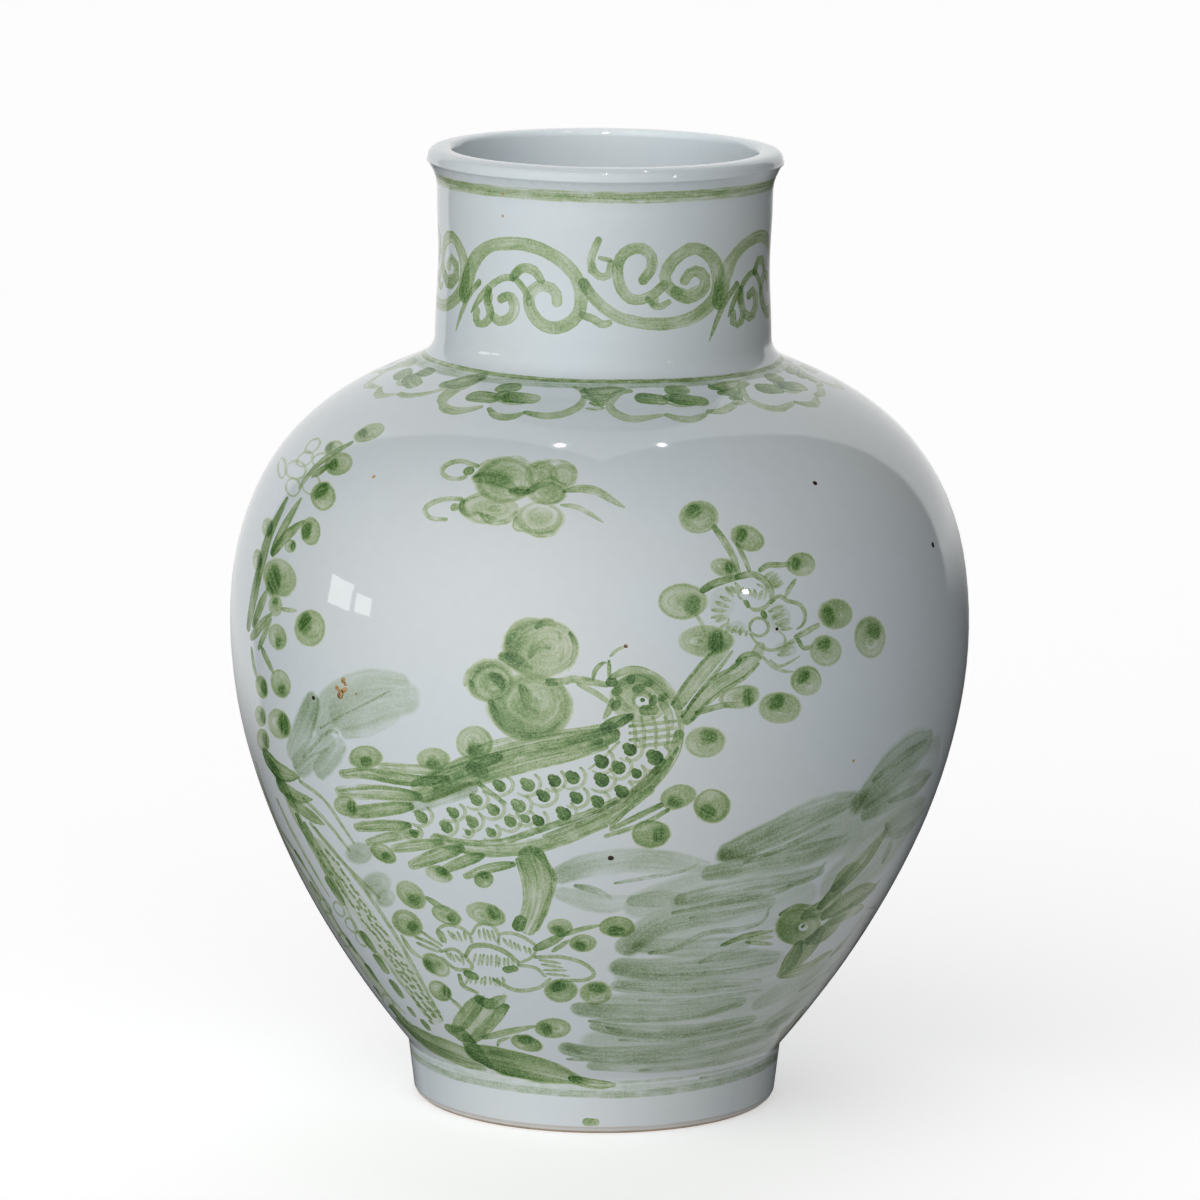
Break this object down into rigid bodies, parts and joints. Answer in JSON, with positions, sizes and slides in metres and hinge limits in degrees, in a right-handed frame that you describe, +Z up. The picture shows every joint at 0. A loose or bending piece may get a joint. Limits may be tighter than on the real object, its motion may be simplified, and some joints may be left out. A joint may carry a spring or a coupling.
{
  "type": "porcelain jar",
  "caption": "Open broad-shouldered porcelain jar with a straight neck, rolled lip and low foot ring, glazed blue-white over green painting; holds flowers or stands alone.",
  "frame": {"origin": "centre of the foot ring's resting face", "axes": "+Z up the jar's axis towards the mouth; the jar is round about Z, and -Y is the side that the picture shows"},
  "size_m": [0.3518, 0.3516, 0.457],
  "materials": {
    "biscuit": "matte",
    "slip": "matte",
    "painted_glaze": "gloss",
    "plain_glaze": "gloss"
  },
  "bodies": {
    "root": {"foot_ring": "biscuit", "foot_slip": "slip", "lower_body": "biscuit", "belly_slip": "slip", "upper_body": "biscuit", "neck_slip": "slip", "neck": "biscuit", "outer_glaze": "painted_glaze", "inner_glaze": "plain_glaze", "base_glaze": "plain_glaze"}
  },
  "joints": []
}
